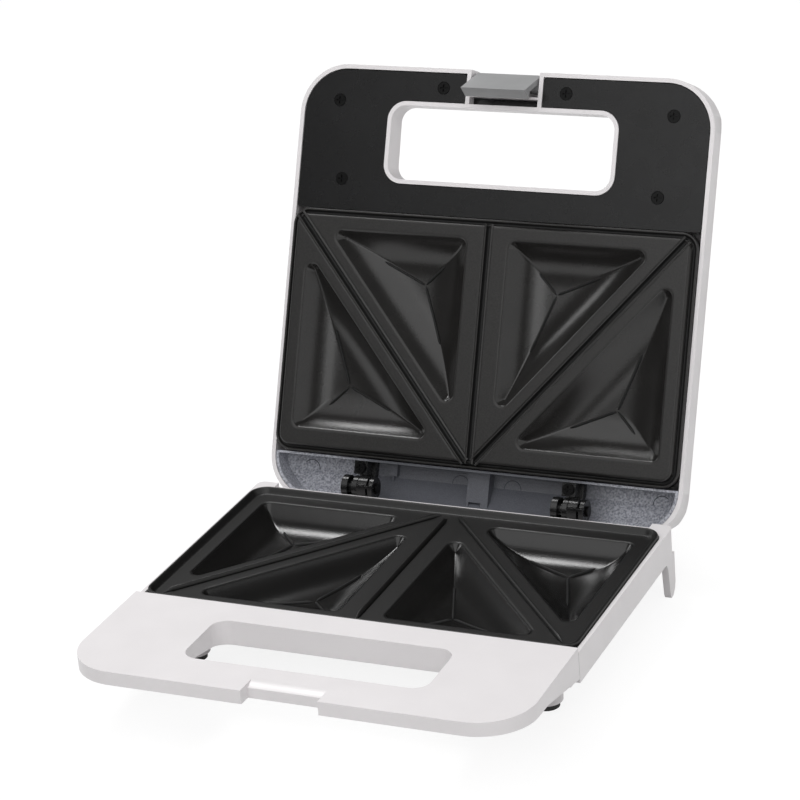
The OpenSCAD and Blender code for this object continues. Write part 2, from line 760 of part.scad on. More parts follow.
module base_hinge_screws() {
    color(BLACK) on_base() for (x = hinge_places) for (z = leaf_holes)
        translate([x + gap + knuckle_l / 2, base_rear - wall, z]) rotate([-90, 0, 0])
            screw_up(0, wall + leaf_t - 0.8, screw_r - fit, leaf_head_r);
}

module hinge_pin(x) {
    color(BLACK) on_base() {
        rod_x(x - knuckle_l - 0.6, x + knuckle_l + gap + 0.6, axis_y, axis_z, pin_r);
        rod_x(x + knuckle_l + 2 * gap, x + knuckle_l + 1.6, axis_y, axis_z, pin_r + 1.2);
    }
}

// knuckle, arm and screw block of one lid leaf, in the closed place
module lid_hinge(x) {
    bed = part_z + liner_depth;
    color(BLACK) on_lid() difference() {
        union() {
            rod_x(x - knuckle_l, x, axis_y, axis_z, knuckle_r);
            side_prism([[axis_y - knuckle_r + 1, axis_z], [axis_y + knuckle_r - 1, axis_z],
                [axis_y + knuckle_r - 1, part_z + 12], [lid_rear - 8.9, bed - 4.6],
                [lid_rear - 17, bed], [plate_y1 + 2.2, bed], [plate_y1 + 2.2, bed - 4],
                [axis_y - knuckle_r + 1, bed - 5]], x - knuckle_l, x);
            block(x - arm_screw_x - arm_block / 2, x - arm_screw_x + arm_block / 2, plate_y1 + 2.2,
                plate_y1 + 9.4, bed - arm_block_h, bed);
        }
        rod_x(x - knuckle_l - cut, x + cut, axis_y, axis_z, pin_r + fit);
        ear_groove(x - lid_groove[1], x - lid_groove[0]);
        rod_z(bed - arm_block_h - cut, bed + cut, x - arm_screw_x, arm_screw_y, screw_r + fit);
    }
}

module lid_hinge_screws() {
    color(BLACK) on_lid() for (x = hinge_places) translate([x - arm_screw_x, arm_screw_y, 0])
        screw_up(part_z + liner_depth - arm_block_h, arm_screw_l, screw_r, arm_head_r, arm_head_h);
}

// ---- lid, in its closed place ----

latch_y = -lid_handle_d + 0.85 + barrel_r;       // axis of the latch
latch_z = part_z + 9;
recess_w = latch_w + 2.4;                        // recess that the latch swings in
recess_wall = 2.2;
recess_y = slot_y0 - 7.3;                        // inner end of the recess
bar_y = recess_y + 1.2;                          // bar between the recess and the narrow slot
lid_top = part_z + lid_dome;
tail_z = liner_depth + 1.8;                      // underside of the skin behind the plates
lid_screws = [[body_w / 2 - 22.2, -lid_handle_d + 19.1], [body_w / 2 - 27.1, -15.6],
    [latch_w / 2 + 16.3, -lid_handle_d + 10.3]];     // right half
lens_x = 9;
lens_y = 28;
lens_r = 3.5;

// outside of the lid drawn in by t: one outline seen from the side, one from the front
module lid_body(t) {
    half = body_w / 2 - t;
    z0 = lid_rim - (t > 0 ? cut : 0);
    crown = lid_top - t;
    shoulder = lid_rim + lid_side;
    intersection() {
        plan_prism(2 * half, -lid_handle_d + t, lid_rear - t, handle_corner - t, lid_corner - t,
            z0, crown);
        front_prism([[half, z0], [half, shoulder], [half - 2, shoulder + 3.5 - t / 2],
            [half - 6, shoulder + 6.5 - t / 2], [half - 16, lid_top - 2 - t / 2],
            [half - 22, crown]], -lid_handle_d, lid_rear);
        side_prism([[-lid_handle_d + t, z0], [-lid_handle_d + t, lid_rim + lid_handle_t - 2 - t / 2],
            [-lid_handle_d + t + lid_bevel, lid_rim + lid_handle_t - t],
            [-2, lid_rim + lid_handle_t + 2.5 - t], [12 + t, lid_top - 3 - t / 2], [20 + t, crown],
            [lid_rear - 30 - t, crown], [lid_rear - 12 - t, part_z + tail_z + lid_wall - t],
            [lid_rear - 4 - t, part_z + tail_z - 4 - t / 2], [lid_rear - t, part_z + 12],
            [lid_rear - t, z0]], -body_w, body_w);
    }
}

module lid_shell() {
    color(WHITE) on_lid() difference() {
        union() {
            difference() {
                lid_body(0);
                lid_body(lid_wall);
            }
            intersection() {
                lid_body(0);
                union() {
                    // collar of the finger slot, and the cross wall in front of the plate
                    slot_prism(collar, 0, lid_top);
                    block(-body_w, body_w, -1.2, plate_y0 - 0.4, cover_z + cover_t + gap, lid_top);
                    // walls of the latch's recess and of the narrow slot behind it
                    difference() {
                        block(-recess_w / 2 - recess_wall, recess_w / 2 + recess_wall, -lid_handle_d,
                            slot_y0 - collar, lid_rim, lid_top);
                        block(-recess_w / 2, recess_w / 2, -lid_handle_d - cut, recess_y, 0, lid_top);
                        block(-recess_w / 2, recess_w / 2, bar_y, slot_y0, 0, lid_top);
                        block(-recess_w, recess_w, bar_y, slot_y0, tongue_z - gap, lid_top);
                    }
                    // bosses for the cover's screws, the plate's tabs and the hinge leaves
                    for (side = [-1, 1]) for (p = lid_screws)
                        rod_z(cover_z + cover_t, lid_top, side * p[0], p[1], 4);
                    for (x = tab_places) rod_z(tab_z, lid_top, x, tab_y, 4);
                    for (x = hinge_places)
                        rod_z(part_z + tail_z, lid_top, x - arm_screw_x, arm_screw_y, 4);
                    for (p = boss_points)
                        rod_z(part_z - sheet_level(upper_face) + sheet_t, lid_top, p[0], p[1], post_r);
                }
            }
        }
        slot_prism(0, 0, lid_top + cut);
        // the recess is open to the front and to the base
        block(-recess_w / 2, recess_w / 2, -lid_handle_d - cut, recess_y, 0,
            latch_z + barrel_r + 0.4);
        // the cover, the plate's tabs and the liner are let in
        for (side = [-1, 1]) for (p = lid_screws)
            rod_z(cover_z, cover_z + 10, side * p[0], p[1], screw_r + fit);
        for (x = tab_places) {
            rod_z(tab_z - cut, tab_z + 5, x, tab_y, screw_r + fit);
            block(x - tab_half - gap, x + tab_half + gap, -1.2 - cut, plate_y0, 0, tab_z);
        }
        for (x = hinge_places)
            rod_z(part_z + tail_z - cut, part_z + tail_z + 2.7, x - arm_screw_x, arm_screw_y,
                screw_r + fit);
        rod_x(-recess_w / 2 - recess_wall, recess_w / 2 + recess_wall, latch_y, latch_z,
            latch_pin_r + fit);
        for (side = [-1, 1]) rod_z(lid_top - 8, lid_top + cut, side * lens_x, lens_y, lens_r + fit);
    }
}

cover_z = lid_rim + 0.4;                 // lower face of the handle's cover
tab_places = [-46, 46];                  // tabs that hang the upper plate under the cover
tab_y = -6;
tab_z = part_z + 9.5;
tab_t = 2;                               // thickness of a tab
tab_half = 5;                            // half of a tab's width
tab_screw_l = 6.4;
cover_head_h = 1.4;                      // heads of the cover's screws
cover_screw_l = 8;
tongue_z = cover_z + 6.5;                // tongue of the cover that closes the narrow slot
tongue_t = 1.5;
tongue_half = recess_w / 2 + recess_wall + gap + tongue_t;

module lid_handle_cover() {
    w = body_w - 2 * cover_in;
    r = handle_corner - cover_in;
    color(BLACK) on_lid() difference() {
        union() {
            difference() {
                plan_prism(w, -lid_handle_d + cover_in, plate_y0 - gap, r, 0, cover_z,
                    cover_z + cover_t);
                slot_prism(collar + gap, 0, lid_top);
                block(-tongue_half + tongue_t, tongue_half - tongue_t, -lid_handle_d, slot_y0, 0,
                    lid_top);
            }
            // the tongue is bent up to pass behind the slot's side walls
            block(-tongue_half, tongue_half, bar_y + gap, slot_y0 - collar - gap, cover_z,
                tongue_z + tongue_t);
        }
        block(-tongue_half + tongue_t, tongue_half - tongue_t, bar_y, slot_y0, 0, tongue_z);
        for (side = [-1, 1]) for (p = lid_screws) {
            rod_z(0, lid_top, side * p[0], p[1], screw_r + fit);
            rod_z(0, cover_z + cover_head_h, side * p[0], p[1], head_r + 0.2);
        }
    }
}

module cover_screws() {
    color(BLACK) on_lid() for (side = [-1, 1]) for (p = lid_screws)
        translate([side * p[0], p[1], 0])
            screw_up(cover_z + cover_head_h, cover_screw_l, screw_r, head_r, cover_head_h);
}

liner_wall = 1.2;                        // wall of the liner beside the plate
liner_rib = 7;                           // height of the rib in the middle of the liner
liner_rib_x = [-5.5, 6.5];
liner_slot_x = [-4.3, 2.4];              // small slot in the rib
liner_slot_y = plate_y1 + 18.2;
lug_x = hinge_places[0] + 7.1;           // lug beside the left hinge
lug_w = 4.7;
lug_l = 7;
lug_h = 3;

// dark tray behind the plate; the hinges stand on its floor
module lid_liner() {
    y0 = plate_y1 + 0.7;
    y1 = y0 + liner_wall;
    bed = part_z + liner_depth;
    z1 = part_z + tail_z - 0.1;
    color(SLATE) on_lid() {
        difference() {
            lid_body(lid_wall + gap);
            block(-body_w, body_w, -lid_handle_d, y0, 0, lid_top);
            block(-body_w, body_w, y0, lid_rear, 0, lid_rim + 0.6);
            block(-body_w, body_w, y0, lid_rear, z1, lid_top);
            intersection() {
                lid_body(lid_wall + gap + 1.6);
                block(-body_w, body_w, y1, lid_rear, 0, bed);
            }
            for (x = hinge_places) rod_z(0, lid_top, x - arm_screw_x, arm_screw_y, screw_r + fit);
        }
        // rib in the middle, with a small slot near its lower end
        difference() {
            intersection() {
                lid_body(lid_wall + gap + 0.8);
                block(liner_rib_x[0], liner_rib_x[1], y0, lid_rear, bed - liner_rib, bed + 0.01);
            }
            block(liner_slot_x[0], liner_slot_x[1], liner_slot_y, liner_slot_y + 2.6,
                bed - liner_rib - cut, bed - liner_rib + 3);
        }
        // lug beside the left hinge, with its peg
        block(lug_x, lug_x + lug_w, y1 - 0.01, y1 + lug_l, bed - lug_h, bed + 0.01);
        rod_y(y1 + lug_l - 0.1, y1 + lug_l + 2.5, lug_x + 2, bed - lug_h / 2, 0.8);
    }
}

// ---- cooking parts of the lid ----

module at_upper() {
    on_lid() translate([0, 0, part_z]) mirror([0, 0, 1]) children();
}

module upper_plate() {
    color(COATING) at_upper() {
        cast_plate(upper_face, lip_h + plate_t);
        for (x = tab_places) difference() {
            block(x - tab_half, x + tab_half, tab_y - 5, plate_y0 + 0.5, part_z - tab_z,
                part_z - tab_z + tab_t);
            rod_z(-20, 0, x, tab_y, screw_r + fit);
        }
        for (x = tab_places)
            block(x - tab_half, x + tab_half, plate_y0 + 0.2, plate_y0 + lip_t, part_z - tab_z, -lip_h);
    }
}

module upper_heater() {
    color(STEEL) at_upper() heater_loop(upper_face);
}

module upper_reflector() {
    color(BRIGHT) at_upper() reflector(upper_face);
}

module upper_heater_clips() {
    color(BRIGHT) at_upper() heater_clips(upper_face);
}

module plate_tab_screws() {
    color(STEEL) on_lid() for (x = tab_places) translate([x, tab_y, 0])
        screw_up(tab_z - tab_t, tab_screw_l, screw_r);
}

// thermal fuse in its clamp, under the bridge of the upper plate
module thermal_fuse() {
    z = upper_face - groove_d - plate_t;
    y = plate_y0 + 64;
    color(BRIGHT) at_upper() {
        block(-5, 5, y - 4, y + 4, z - 1.2, z);
        rod_y(y - 9, y + 9, 0, z - 3.2, 2.2);
        rod_y(y - 16, y + 16, 0, z - 3.2, 0.6);
    }
}

module lens(x, colour) {
    color(colour) on_lid() {
        rod_z(lid_top - lid_wall - 1.3, lid_top + 1, x, lens_y, lens_r);
        rod_z(lid_top - lid_wall - 1.3, lid_top - lid_wall - 0.02, x, lens_y, lens_r + 1.2);
    }
}

module power_lens() {
    lens(-lens_x, [0.75, 0.08, 0.06]);
}

module ready_lens() {
    lens(lens_x, [0.10, 0.55, 0.18]);
}

// two neon lamps, each with its two leads
module pilot_lamps() {
    z = lid_top - lid_wall - 1.5;
    color([0.95, 0.75, 0.6]) on_lid() for (side = [-1, 1]) translate([side * lens_x, lens_y, 0]) {
        rod_z(z - 4.5, z, 0, 0, 2.2);
        for (lead = [-1, 1]) rod_z(z - 6, z - 4.4, lead, 0, 0.35);
    }
}

// ---- latch, in its latched place ----

module latch() {
    outer = latch_y - barrel_r;
    inner = outer + latch_arm;
    tip = latch_z - latch_l;
    hook_z = part_z - 7.8;
    nose_y = keeper_y + 3.3;
    color(GREY) on_latch() difference() {
        union() {
            side_prism([[outer, latch_z], [outer, tip], [nose_y, hook_z - 1.4],
                [inner, hook_z], [inner, latch_z - 6], [latch_y + 3.2, latch_z - 3.5],
                [latch_y, latch_z]], -latch_w / 2, latch_w / 2);
            rod_x(-latch_w / 2, latch_w / 2, latch_y, latch_z, barrel_r);
        }
        rod_x(-latch_w, latch_w, latch_y, latch_z, latch_pin_r + fit);
        // room for the spring
        block(-spring_half - 1, spring_half + 1, latch_y - 3.4, latch_y + 8, latch_z - 5.2,
            latch_z + 8);
    }
}

spring_half = 6;
spring_wire = 0.45;
spring_r = latch_pin_r + fit + 0.2 + spring_wire;

module latch_pin() {
    color(STEEL) on_lid() rod_x(-recess_w / 2 - 1.8, recess_w / 2 + 1.8, latch_y, latch_z, latch_pin_r);
}

// torsion spring on the pin: five turns swept as one tube, and a leg at each end
module latch_spring() {
    turns = 5;
    steps = 16;
    sides = 6;
    n = turns * steps;
    points = [for (i = [0:n]) for (k = [0:sides - 1])
        let (a = 360 * i / steps, r = spring_r + spring_wire * cos(360 * k / sides))
        [-spring_half + 2 * spring_half * i / n + spring_wire * sin(360 * k / sides),
            r * cos(a), r * sin(a)]];
    walls = [for (i = [0:n - 1]) for (k = [0:sides - 1])
        let (a = i * sides + k, b = i * sides + (k + 1) % sides) [a, b, b + sides, a + sides]];
    faces = concat(walls, [[for (k = [sides - 1:-1:0]) k]], [[for (k = [0:sides - 1]) n * sides + k]]);
    color(STEEL) on_lid() translate([0, latch_y, latch_z]) {
        polyhedron(points, faces);
        rod_z(-4.2, 0, -spring_half, spring_r, spring_wire * 0.9);
        rod_z(0, barrel_r, spring_half, spring_r, spring_wire * 0.9);
    }
}

base_shell();
base_handle_cover();
base_handle_screws();
rubber_feet();
lower_plate();
lower_heater();
lower_reflector();
lower_heater_clips();
plate_screws();
thermostat();
terminal_block();
cord_bush();
base_hinge(hinge_places[0]);  // base_hinge_left
base_hinge(hinge_places[1]);  // base_hinge_right
base_hinge_screws();
hinge_pin(hinge_places[0]);  // hinge_pin_left
hinge_pin(hinge_places[1]);  // hinge_pin_right
lid_shell();
lid_handle_cover();
cover_screws();
lid_liner();
lid_hinge(hinge_places[0]);  // lid_hinge_left
lid_hinge(hinge_places[1]);  // lid_hinge_right
lid_hinge_screws();
upper_plate();
upper_heater();
upper_reflector();
upper_heater_clips();
plate_tab_screws();
thermal_fuse();
power_lens();
ready_lens();
pilot_lamps();
latch();
latch_pin();
latch_spring();
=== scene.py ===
import json
import math

import bmesh
import bpy
import numpy as np
from mathutils import Euler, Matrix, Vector


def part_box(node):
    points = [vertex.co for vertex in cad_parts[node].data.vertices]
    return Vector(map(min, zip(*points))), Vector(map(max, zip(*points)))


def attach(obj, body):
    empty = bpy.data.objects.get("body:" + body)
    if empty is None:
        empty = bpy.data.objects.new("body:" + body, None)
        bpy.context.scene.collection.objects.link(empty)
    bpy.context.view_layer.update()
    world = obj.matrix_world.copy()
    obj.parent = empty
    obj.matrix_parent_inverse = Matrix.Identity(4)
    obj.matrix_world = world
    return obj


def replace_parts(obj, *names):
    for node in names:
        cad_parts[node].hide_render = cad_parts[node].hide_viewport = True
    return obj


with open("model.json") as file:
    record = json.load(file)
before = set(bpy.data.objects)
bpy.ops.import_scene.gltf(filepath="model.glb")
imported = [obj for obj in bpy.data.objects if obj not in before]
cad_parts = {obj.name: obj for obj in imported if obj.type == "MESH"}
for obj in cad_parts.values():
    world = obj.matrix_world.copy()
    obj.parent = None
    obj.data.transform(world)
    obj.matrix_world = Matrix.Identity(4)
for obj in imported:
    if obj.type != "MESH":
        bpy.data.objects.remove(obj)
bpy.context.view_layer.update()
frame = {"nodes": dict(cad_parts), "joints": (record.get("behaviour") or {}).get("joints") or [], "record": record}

MM = 0.001


# ---- base shell ----
# The white base: side walls, belly, legs and the tray of the front handle, moulded in one
# piece of glossy white plastic. Everything else of the lower half is screwed into it.

def noise(tree, scale, detail=3.0, roughness=0.5):
    """A noise in the piece's own coordinates, and the socket with its values."""
    place = tree.nodes.new("ShaderNodeTexCoord")
    node = tree.nodes.new("ShaderNodeTexNoise")
    node.inputs["Scale"].default_value = scale
    node.inputs["Detail"].default_value = detail
    node.inputs["Roughness"].default_value = roughness
    tree.links.new(place.outputs["Object"], node.inputs["Vector"])
    return node.outputs["Fac"]


def ramp(tree, value, stops):
    """Value run through a colour ramp of (position, colour) stops."""
    node = tree.nodes.new("ShaderNodeValToRGB")
    elements = node.color_ramp.elements
    while len(elements) < len(stops):
        elements.new(0.5)
    for element, (position, colour) in zip(elements, stops):
        element.position = position
        element.color = (*colour, 1)
    tree.links.new(value, node.inputs["Fac"])
    return node.outputs["Color"]


def spread(tree, value, low, high):
    """Value mapped from 0.3-0.7 to low-high."""
    node = tree.nodes.new("ShaderNodeMapRange")
    node.inputs["From Min"].default_value = 0.3
    node.inputs["From Max"].default_value = 0.7
    node.inputs["To Min"].default_value = low
    node.inputs["To Max"].default_value = high
    tree.links.new(value, node.inputs["Value"])
    return node.outputs["Result"]


def blend(tree, value, low, high, first, second, steps="LINEAR"):
    """Colour first where value is low and second where it is high, blended between."""
    share = tree.nodes.new("ShaderNodeMapRange")
    share.interpolation_type = steps
    share.inputs["From Min"].default_value = low
    share.inputs["From Max"].default_value = high
    tree.links.new(value, share.inputs["Value"])
    mix = tree.nodes.new("ShaderNodeMix")
    mix.data_type = "RGBA"
    tree.links.new(share.outputs["Result"], mix.inputs[0])
    tree.links.new(first, mix.inputs[6])
    tree.links.new(second, mix.inputs[7])
    return mix.outputs[2]


def grained(name, grain, depth, metal=0.0, **constants):
    """A shader with a fine grain in its bump, still without colour and roughness.

    grain is the noise scale of the bump and depth its height in metres; constants are
    plain socket values of the shader.
    """
    made = bpy.data.materials.new(name)
    made.use_nodes = True
    tree = made.node_tree
    shader = tree.nodes["Principled BSDF"]
    bump = tree.nodes.new("ShaderNodeBump")
    bump.inputs["Distance"].default_value = depth
    tree.links.new(noise(tree, grain, 4, 0.6), bump.inputs["Height"])
    tree.links.new(bump.outputs["Normal"], shader.inputs["Normal"])
    shader.inputs["Metallic"].default_value = metal
    for socket, value in constants.items():
        shader.inputs[socket.replace("_", " ")].default_value = value
    return made, tree, shader


def material(name, dark, light, rough, grain, depth, mottle=35.0, **constants):
    """Two close colours mottled together; rough is the (lowest, highest) roughness."""
    made, tree, shader = grained(name, grain, depth, **constants)
    colour = ramp(tree, noise(tree, mottle), [(0.35, dark), (0.65, light)])
    tree.links.new(colour, shader.inputs["Base Color"])
    tree.links.new(spread(tree, noise(tree, mottle * 2.3, 5), *rough), shader.inputs["Roughness"])
    return made


def dress(look, *names):
    """Gives CAD nodes their material."""
    for name in names:
        node = frame["nodes"][name]
        node.data.materials.clear()
        node.data.materials.append(look)


def moulded(name, look, width, corners=0.0, sheet=2.4):
    """A copy of a CAD node with its sharp edges rounded by width, which replaces the node.

    corners rounds the square corners of a flat sheet first, whose thickness is sheet.
    """
    source = frame["nodes"][name]
    made = bpy.data.objects.new(name + "_moulding", source.data.copy())
    bpy.context.collection.objects.link(made)
    made.data.materials.clear()
    made.data.materials.append(look)
    shape = bmesh.new()
    shape.from_mesh(made.data)
    bmesh.ops.remove_doubles(shape, verts=shape.verts, dist=0.002 * MM)
    bmesh.ops.dissolve_limit(
        shape, angle_limit=math.radians(0.3), verts=shape.verts, edges=shape.edges)
    if corners:
        square = [e for e in shape.edges if abs(e.calc_length() - sheet * MM) < 0.15 * MM
                  and len(e.link_faces) == 2 and abs(e.calc_face_angle() - math.pi / 2) < 0.1]
        bmesh.ops.bevel(shape, geom=square, offset=corners * MM, segments=5, profile=0.5,
                        affect="EDGES", clamp_overlap=True)
    for face in shape.faces:
        face.smooth = True
    shape.to_mesh(made.data)
    shape.free()
    bevel = made.modifiers.new("Edges", "BEVEL")
    bevel.width = width * MM
    bevel.segments = 3
    bevel.limit_method = "ANGLE"
    bevel.angle_limit = math.radians(35)
    bevel.use_clamp_overlap = True
    flat = made.modifiers.new("Normals", "WEIGHTED_NORMAL")
    flat.weight = 100
    flat.keep_sharp = True
    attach(made, BODY_OF[name])
    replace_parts(made, name)
    return made


BODY_OF = {n: body for body, names in frame["record"]["behaviour"]["bodies"].items() for n in names}

white = material("white_plastic", (0.775, 0.75, 0.758), (0.795, 0.77, 0.778), (0.3, 0.4),
                 2600, 0.00002)
moulded("base_shell", white, 0.6)


# ---- cover of the front handle ----
# A second white moulding that closes the handle from above, held by screws from below.
# The notch in its front edge is the keeper that the latch hooks under.

moulded("base_handle_cover", white, 0.9)

steel = material("steel", (0.5, 0.5, 0.52), (0.6, 0.6, 0.62), (0.25, 0.4), 2000, 0.00002, metal=1.0)
dress(steel, "base_handle_screws")


# ---- feet ----
# Two soft black pads pushed into the front foot bosses.

rubber = material("rubber", (0.02, 0.02, 0.02), (0.035, 0.035, 0.035), (0.7, 0.9), 1800, 0.0001)
dress(rubber, "rubber_feet")


# ---- cord bush and terminals ----
# The black bush in the rear wall and the ceramic block behind it.

black = material("black_plastic", (0.003, 0.003, 0.0032), (0.005, 0.005, 0.0054), (0.24, 0.3),
                 2400, 0.00003, Specular_IOR_Level=0.32)
dress(black, "cord_bush")
ceramic = material("ceramic", (0.72, 0.7, 0.64), (0.8, 0.78, 0.72), (0.5, 0.7), 1800, 0.00005)
dress(ceramic, "terminal_block")


# ---- heater of the base ----
# A bent steel tube on a bright reflector, with its clips, thermostat and thermal fuse.

bright = material("bright_sheet", (0.75, 0.76, 0.78), (0.85, 0.86, 0.88), (0.15, 0.3), 1500,
                  0.00002, metal=1.0)
dress(bright, "lower_reflector", "lower_heater_clips", "thermal_fuse")
dress(steel, "lower_heater", "thermostat")


# ---- lower plate ----
# A coated aluminium casting with four triangular pockets, divided by raised ribs. A fine
# ridge in the shape of a Y in each pocket scores the bread. Four screws hold it from below.

PLATE_W, PLATE_D = 225.2, 129.4          # millimetres, as all sizes in this section
PLATE_Y = 1.0                            # front edge behind the front handle
CORNER = 9.0
CAST = 2.2                               # thickness of the casting
CELLS = (198, 195)                       # cells over half of the width and over the depth
SPINE_A = np.array([2.8, 126.6])         # diagonal of the right half: rear middle ...
SPINE_B = np.array([107.0, 5.1])         # ... and front corner
BRIDGE, MARGIN, LAND = 11.5, 10.4, 8.0   # metal beside, before and diagonally between pockets
LOWER_FACE, UPPER_FACE = -3.0, 2.8       # cooking faces, measured from the plates' edges
GROOVE = 2.9                             # room under the linings of the grooves
RIDGE = (1.5, 1.25, 3)                   # Y ridges: width, height and length of the ends
RIB = (2.4, 2.5, 5)                      # ribs of the lower plate, in the same order
FRONT_Y = [(36.7, 37.4), (26, 26.4), (61, 26.4), (25, 68.4)]      # middle and ends of a ridge
REAR_Y = [(75, 93.9), (86, 63.4), (86, 105.1), (50, 105)]

plate_lo, plate_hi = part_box("lower_plate")
FRONT = plate_lo.y - PLATE_Y * MM        # rear edge of the front handle
RIM = plate_hi.z                         # edge of the lower plate
PART = RIM + 0.3 * MM                    # edge of the upper plate when the lid is shut
hinge = next(j for j in frame["joints"] if j["name"] == "lid_hinge")
AXIS = Vector(hinge["pos_m"])
OPEN_ANGLE = math.radians(hinge["range_deg"][1])


def outline_inset(x, y):
    """Distance inside the plate's outline, a rectangle with round corners."""
    qx = np.abs(x) - (PLATE_W / 2 - CORNER)
    qy = np.abs(y - PLATE_Y - PLATE_D / 2) - (PLATE_D / 2 - CORNER)
    outside = np.hypot(np.maximum(qx, 0), np.maximum(qy, 0))
    return CORNER - outside - np.minimum(np.maximum(qx, qy), 0)


def beside_spine(x, y):
    """Signed distance from the diagonal, positive towards the rear corner."""
    along = (SPINE_B - SPINE_A) / np.linalg.norm(SPINE_B - SPINE_A)
    return -(x - SPINE_A[0]) * along[1] + (y - SPINE_A[1]) * along[0]


def triangle(front):
    """Corners of a pocket's mouth in the right half: the square one first."""
    if front:
        x, y, off = BRIDGE, PLATE_Y + MARGIN, -LAND
    else:
        x, y, off = PLATE_W / 2 - MARGIN, PLATE_Y + PLATE_D - MARGIN - 2, LAND
    along = (SPINE_B - SPINE_A) / np.linalg.norm(SPINE_B - SPINE_A)
    across = np.array([-along[1], along[0]])
    on_y = SPINE_A[0] + (off - (y - SPINE_A[1]) * across[1]) / across[0]
    on_x = SPINE_A[1] + (off - (x - SPINE_A[0]) * across[0]) / across[1]
    return np.array([[x, y], [on_y, y], [x, on_x]])


def pocket_inset(x, y, corners, radius=4.2):
    """Distance inside a pocket's mouth, a triangle rounded by radius: the radius less the
    distance to the triangle whose sides lie a radius further in."""
    centre, inside, nearest = corners.mean(0), True, np.inf
    normals, offsets = [], []
    for p, q in zip(corners, np.roll(corners, -1, 0)):
        normal = np.array([p[1] - q[1], q[0] - p[0]]) / np.linalg.norm(q - p)
        normals.append(normal * np.sign((centre - p) @ normal))
        offsets.append(normals[-1] @ p + radius)
    ends = [np.linalg.solve([normals[i - 1], normals[i]], [offsets[i - 1], offsets[i]])
            for i in range(3)]
    for i in range(3):
        p, along = ends[i], ends[(i + 1) % 3] - ends[i]
        inside = inside & ((x - p[0]) * normals[i][0] + (y - p[1]) * normals[i][1] > 0)
        share = np.clip(((x - p[0]) * along[0] + (y - p[1]) * along[1]) / (along @ along), 0, 1)
        nearest = np.minimum(nearest, np.hypot(x - p[0] - share * along[0],
                                               y - p[1] - share * along[1]))
    return radius + np.where(inside, nearest, -nearest)


def pocket_depth(inset):
    """Depth of a pocket: 10.8 (1 - (1 - t / 25) ** 2.9), t inside its mouth; edge rounded."""
    steps = np.arange(-4, 34, 0.1)
    profile = 10.8 * (1 - (1 - np.clip(steps, 0, 25) / 25) ** 2.9)
    profile = np.convolve(np.pad(profile, 4, "edge"), np.ones(9) / 9, "valid")
    return np.interp(inset, steps, profile)


def edge_profile(inset, face):
    """Height along the plate's edge: a rounded lip and, on the upper plate, a sunk border."""
    if face < 0:
        return np.interp(inset, [0, 0.15, 0.5, 1.1, 1.5, 3.1, 3.8],
                         [-0.6, -0.2, 0, 0, -0.2, -2.8, face])
    return np.interp(inset, [0, 0.15, 0.5, 1.2, 1.6, 2.9, 3.2, 3.6, 4.2],
                     [-0.6, -0.2, 0, 0, -1.2, -1.5, 1.6, 2.5, face])


def groove_share(x, y):
    """How deep a point lies in the room left for the groove linings, from 0 to 1."""
    beside = np.minimum(np.abs(x), np.abs(beside_spine(np.abs(x), y)))
    reach = np.clip((outline_inset(x, y) - 3.4) / 0.8, 0, 1)
    return reach * np.clip((2.3 - beside) / 0.9, 0, 1)


def plate_height(x, y, face):
    """Cooking side of a plate at x, y, measured up from its edge."""
    height = edge_profile(outline_inset(x, y), face)
    for front in (True, False):
        height = height - pocket_depth(pocket_inset(np.abs(x), y, triangle(front)))
    if face > 0:
        height = height - GROOVE * groove_share(x, y)
    return height


def graded(length, cells, border=4.2, steps=12):
    """Positions from 0 to length, closer together within the border at each end."""
    edge = border * np.linspace(0, 1, steps + 1) ** 1.25
    middle = np.linspace(border, length - border, cells - 2 * steps + 1)
    return np.concatenate([edge[:-1], middle, length - edge[::-1][1:]])


def round_corners(x, y):
    """Moves the points of a rectangular grid so that its corners become quarter discs."""
    u = (np.abs(x) - (PLATE_W / 2 - CORNER)) / CORNER
    v = (np.abs(y - PLATE_Y - PLATE_D / 2) - (PLATE_D / 2 - CORNER)) / CORNER
    corner = (u > 0) & (v > 0)
    mapped_u = np.where(corner, u * np.sqrt(np.maximum(1 - v * v / 2, 0)), u)
    mapped_v = np.where(corner, v * np.sqrt(np.maximum(1 - u * u / 2, 0)), v)
    new_x = np.sign(x) * (mapped_u * CORNER + PLATE_W / 2 - CORNER)
    new_y = PLATE_Y + PLATE_D / 2 + np.sign(y - PLATE_Y - PLATE_D / 2) * (
        mapped_v * CORNER + PLATE_D / 2 - CORNER)
    return np.where(corner, new_x, x), np.where(corner, new_y, y)


def grid_faces(shape, start=0, flip=False):
    """Quads of a grid of points whose first point has the index start."""
    index = start + np.arange(shape[0] * shape[1]).reshape(shape)
    quads = np.stack([index[:-1, :-1], index[1:, :-1], index[1:, 1:], index[:-1, 1:]], -1)
    quads = quads.reshape(-1, 4)
    return (quads[:, ::-1] if flip else quads).tolist()


def rim(index):
    """Indices round the border of a grid, anticlockwise from its first point."""
    return np.concatenate([index[:-1, 0], index[-1, :-1], index[:0:-1, -1], index[0, :0:-1]])


def stitched(shape):
    """Underside with every third point of the grid, and the faces that join it to the top."""
    top = np.arange(shape[0] * shape[1]).reshape(shape)
    coarse = top[::3, ::3]
    under = top.size + np.arange(coarse.size).reshape(coarse.shape)
    fine, few = rim(top), rim(under)
    faces = grid_faces(coarse.shape, top.size, flip=True)
    for k in range(len(few)):
        a, b = few[k], few[(k + 1) % len(few)]
        p = [fine[(3 * k + step) % len(fine)] for step in range(4)]
        faces += [[a, p[1], p[0]], [a, p[2], p[1]], [a, b, p[2]], [b, p[3], p[2]]]
    return faces


